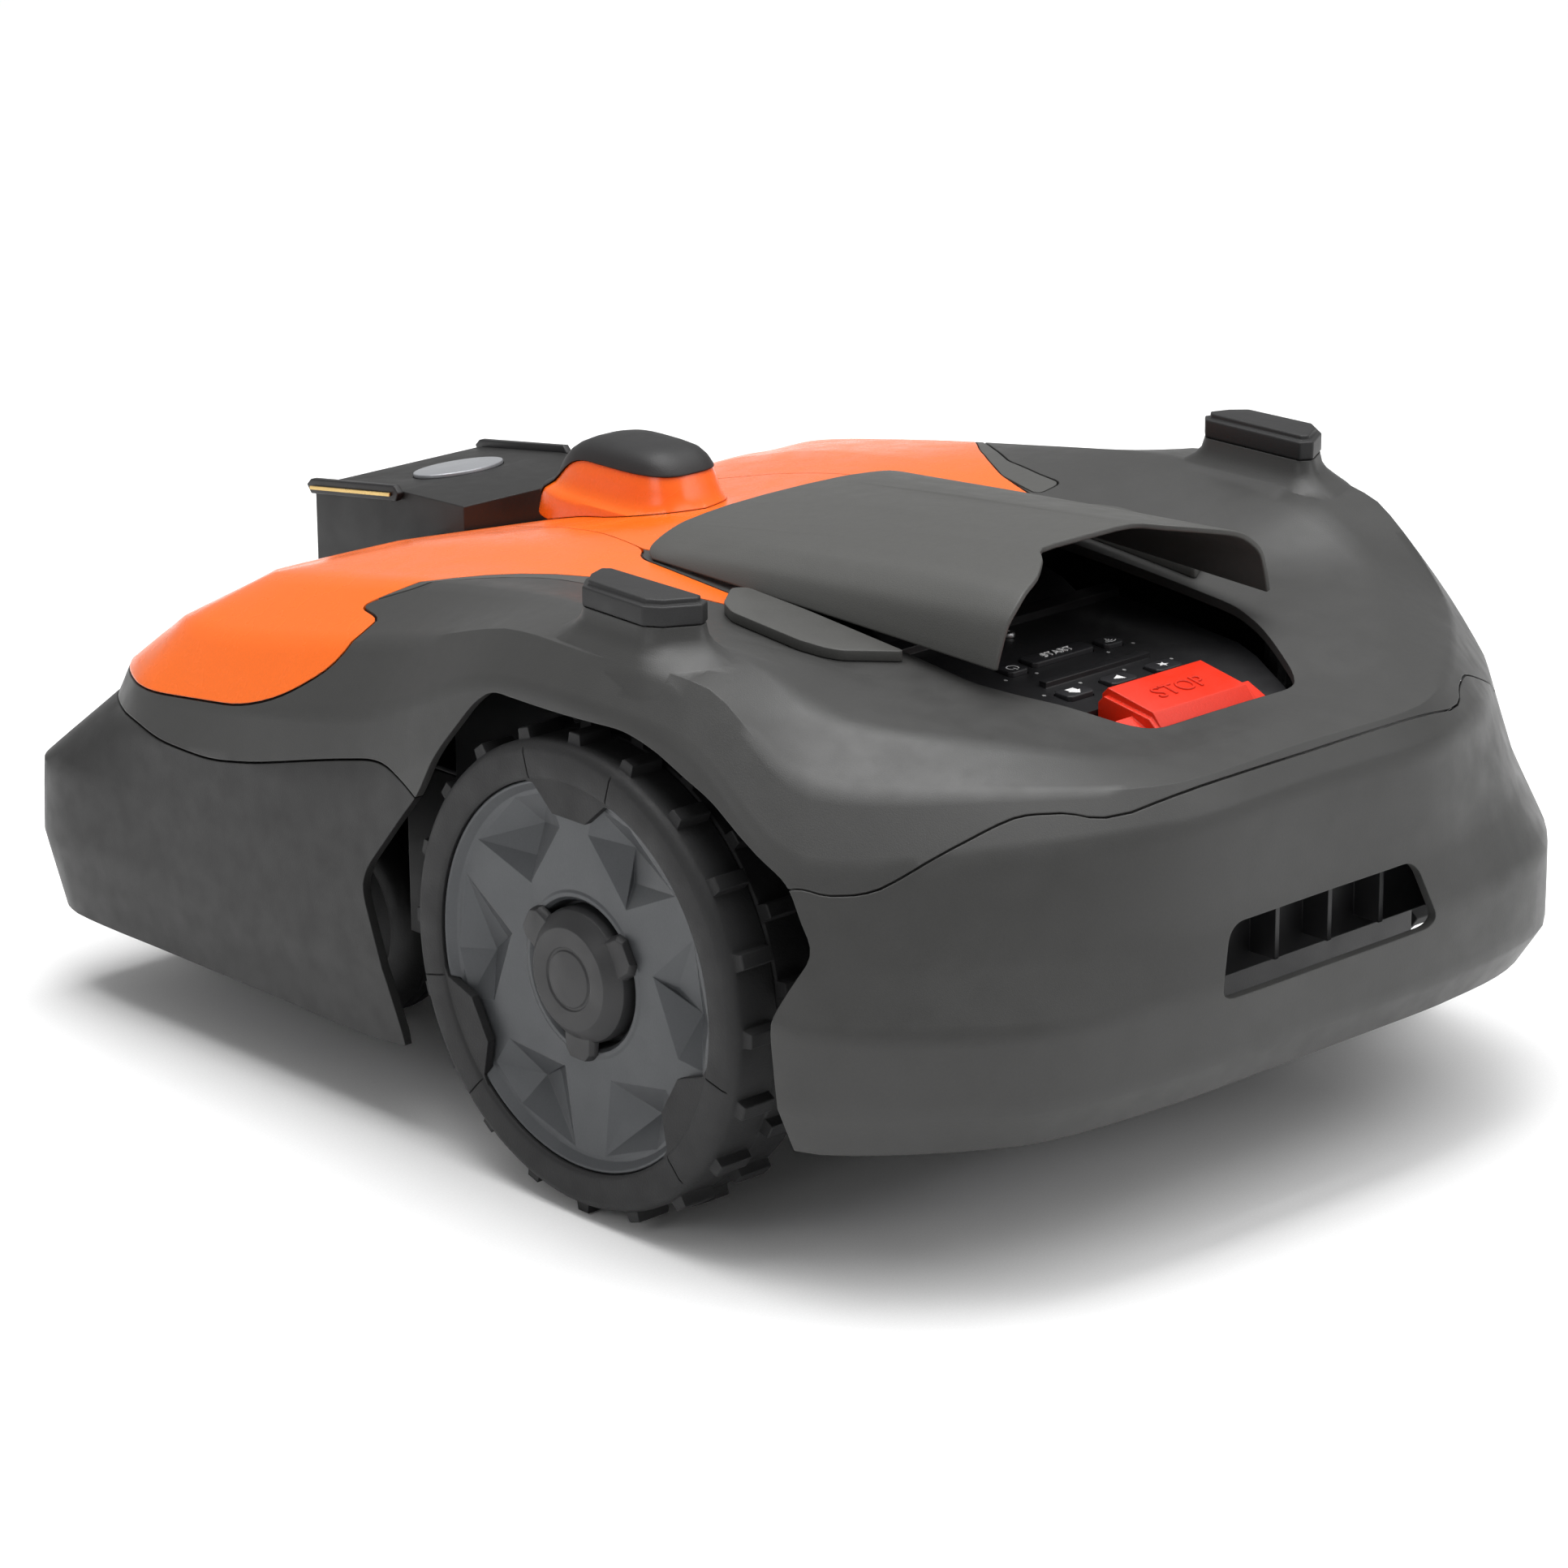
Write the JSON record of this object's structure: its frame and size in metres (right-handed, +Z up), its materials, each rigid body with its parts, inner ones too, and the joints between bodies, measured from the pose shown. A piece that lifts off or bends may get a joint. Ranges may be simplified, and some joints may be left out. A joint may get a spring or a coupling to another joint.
{
  "type": "robotic lawn mower",
  "caption": "Robotic lawn mower with a floating cover, hinged hatch over keypad and stop button, driven rear wheels, front casters and a height-adjustable blade disc.",
  "frame": {"origin": "on the floor under the middle of the machine, at the bottom centre of its bounding box", "axes": "+X to the machine's left side, +Y to its rear (the bumper side), +Z up; it drives towards -Y"},
  "size_m": [0.566, 0.752, 0.332],
  "materials": {
    "body_grey": "fine-grained matt moulded plastic",
    "skirt_charcoal": "fine-grained matt moulded plastic",
    "orange": "semi-gloss painted plastic",
    "light_grey": "fine-grained matt moulded plastic",
    "black_rubber": "matt rubber",
    "black_plastic": "satin black plastic",
    "contact_brass": "plated contact strip",
    "motor_metal": "cast, satin",
    "tyre": "matt tyre rubber",
    "rim_grey": "satin moulded plastic with a metallic tint",
    "hub_charcoal": "matt moulded plastic",
    "steel": "satin steel",
    "badge_grey": "silver-grey satin plastic",
    "key_black": "satin elastomer",
    "stop_red": "fine-grained plastic",
    "battery_black": "matt plastic",
    "board_green": "matt plastic"
  },
  "bodies": {
    "chassis": {"chassis_tub": "black_plastic", "chassis_lid": "black_plastic", "battery_pack": "battery_black", "control_board_box": "board_green", "control_console": "black_plastic", "display_unit": "black_plastic", "drive_motor_left": "motor_metal", "drive_motor_right": "motor_metal", "cover_post_front_left": "black_rubber", "cover_post_front_right": "black_rubber", "cover_post_rear_left": "black_rubber", "cover_post_rear_right": "black_rubber"},
    "cover": {"main_cover": "body_grey", "rear_bumper": "body_grey", "front_skirt_left": "skirt_charcoal", "front_skirt_right": "skirt_charcoal", "orange_centre_panel": "orange", "orange_arm_left": "orange", "orange_arm_right": "orange", "arm_inlay_left": "light_grey", "arm_inlay_right": "light_grey", "step_trim_left": "light_grey", "step_trim_right": "light_grey", "rest_pad_left": "black_rubber", "rest_pad_right": "black_rubber", "nose_module": "skirt_charcoal", "nose_badge_plate": "badge_grey", "contact_bracket_left": "black_plastic", "contact_bracket_right": "black_plastic", "charging_contact_left": "contact_brass", "charging_contact_right": "contact_brass", "receiver_dome": "orange", "receiver_dome_cap": "black_rubber", "hatch_hinge_pin": "steel"},
    "hatch_lid": {"hatch": "light_grey"},
    "stop": {"stop_button": "stop_red"},
    "keycap_power": {"key_power": "key_black"},
    "keycap_start": {"key_start": "key_black"},
    "keycap_wireless": {"key_wireless": "key_black"},
    "keycap_home": {"key_home": "key_black"},
    "keycap_play": {"key_play": "key_black"},
    "keycap_star": {"key_star": "key_black"},
    "drive_wheel_left": {"tyre_left": "tyre", "rim_left": "rim_grey", "hub_cap_left": "hub_charcoal", "drive_axle_left": "steel"},
    "caster_left": {"caster_fork_left": "black_plastic"},
    "roller_left": {"caster_wheel_left": "tyre"},
    "drive_wheel_right": {"tyre_right": "tyre", "rim_right": "rim_grey", "hub_cap_right": "hub_charcoal", "drive_axle_right": "steel"},
    "caster_right": {"caster_fork_right": "black_plastic"},
    "roller_right": {"caster_wheel_right": "tyre"},
    "cutting_head": {"cutting_motor": "motor_metal"},
    "disc": {"cutting_disc": "black_plastic"},
    "skid": {"skid_plate": "skirt_charcoal"},
    "knife_1": {"blade_1": "steel"},
    "knife_2": {"blade_2": "steel"},
    "knife_3": {"blade_3": "steel"}
  },
  "joints": [
    {"name": "cover_lift", "type": "slide", "parent": "chassis", "child": "cover", "axis": [0, 0, 1], "range_m": [0, 0.012]},
    {"name": "hatch_hinge", "type": "hinge", "parent": "cover", "child": "hatch_lid", "pos_m": [0, -0.025, 0.299], "axis": [1, 0, 0], "range_deg": [0, 60]},
    {"name": "stop_press", "type": "slide", "parent": "chassis", "child": "stop", "axis": [0, 0, -1], "range_m": [0, 0.004], "stiffness_N_per_m": 2500, "springref_m": -0.001},
    {"name": "key_press_power", "type": "slide", "parent": "chassis", "child": "keycap_power", "axis": [0, 0, -1], "range_m": [0, 0.001], "stiffness_N_per_m": 1500, "springref_m": -0.0005},
    {"name": "key_press_start", "type": "slide", "parent": "chassis", "child": "keycap_start", "axis": [0, 0, -1], "range_m": [0, 0.001], "stiffness_N_per_m": 1500, "springref_m": -0.0005},
    {"name": "key_press_wireless", "type": "slide", "parent": "chassis", "child": "keycap_wireless", "axis": [0, 0, -1], "range_m": [0, 0.001], "stiffness_N_per_m": 1500, "springref_m": -0.0005},
    {"name": "key_press_home", "type": "slide", "parent": "chassis", "child": "keycap_home", "axis": [0, 0, -1], "range_m": [0, 0.001], "stiffness_N_per_m": 1500, "springref_m": -0.0005},
    {"name": "key_press_play", "type": "slide", "parent": "chassis", "child": "keycap_play", "axis": [0, 0, -1], "range_m": [0, 0.001], "stiffness_N_per_m": 1500, "springref_m": -0.0005},
    {"name": "key_press_star", "type": "slide", "parent": "chassis", "child": "keycap_star", "axis": [0, 0, -1], "range_m": [0, 0.001], "stiffness_N_per_m": 1500, "springref_m": -0.0005},
    {"name": "drive_wheel_spin_left", "type": "hinge", "parent": "chassis", "child": "drive_wheel_left", "pos_m": [0, 0.108, 0.131], "axis": [1, 0, 0], "continuous": true},
    {"name": "caster_swivel_left", "type": "hinge", "parent": "chassis", "child": "caster_left", "pos_m": [0.168, -0.231, 0], "axis": [0, 0, 1], "continuous": true},
    {"name": "caster_roll_left", "type": "hinge", "parent": "caster_left", "child": "roller_left", "pos_m": [0.168, -0.203, 0.062], "axis": [1, 0, 0], "continuous": true},
    {"name": "drive_wheel_spin_right", "type": "hinge", "parent": "chassis", "child": "drive_wheel_right", "pos_m": [0, 0.108, 0.131], "axis": [1, 0, 0], "continuous": true},
    {"name": "caster_swivel_right", "type": "hinge", "parent": "chassis", "child": "caster_right", "pos_m": [-0.168, -0.231, 0], "axis": [0, 0, 1], "continuous": true},
    {"name": "caster_roll_right", "type": "hinge", "parent": "caster_right", "child": "roller_right", "pos_m": [-0.168, -0.203, 0.062], "axis": [1, 0, 0], "continuous": true},
    {"name": "cutting_height", "type": "slide", "parent": "chassis", "child": "cutting_head", "axis": [0, 0, 1], "range_m": [-0.02, 0.02]},
    {"name": "disc_spin", "type": "hinge", "parent": "cutting_head", "child": "disc", "pos_m": [0, -0.04, 0], "axis": [0, 0, 1], "continuous": true},
    {"name": "skid_spin", "type": "hinge", "parent": "disc", "child": "skid", "pos_m": [0, -0.04, 0], "axis": [0, 0, 1], "continuous": true},
    {"name": "blade_swing_1", "type": "hinge", "parent": "disc", "child": "knife_1", "pos_m": [0, 0.05, 0], "axis": [0, 0, 1], "continuous": true},
    {"name": "blade_swing_2", "type": "hinge", "parent": "disc", "child": "knife_2", "pos_m": [-0.07794, -0.085, 0], "axis": [0, 0, 1], "continuous": true},
    {"name": "blade_swing_3", "type": "hinge", "parent": "disc", "child": "knife_3", "pos_m": [0.07794, -0.085, 0], "axis": [0, 0, 1], "continuous": true}
  ]
}
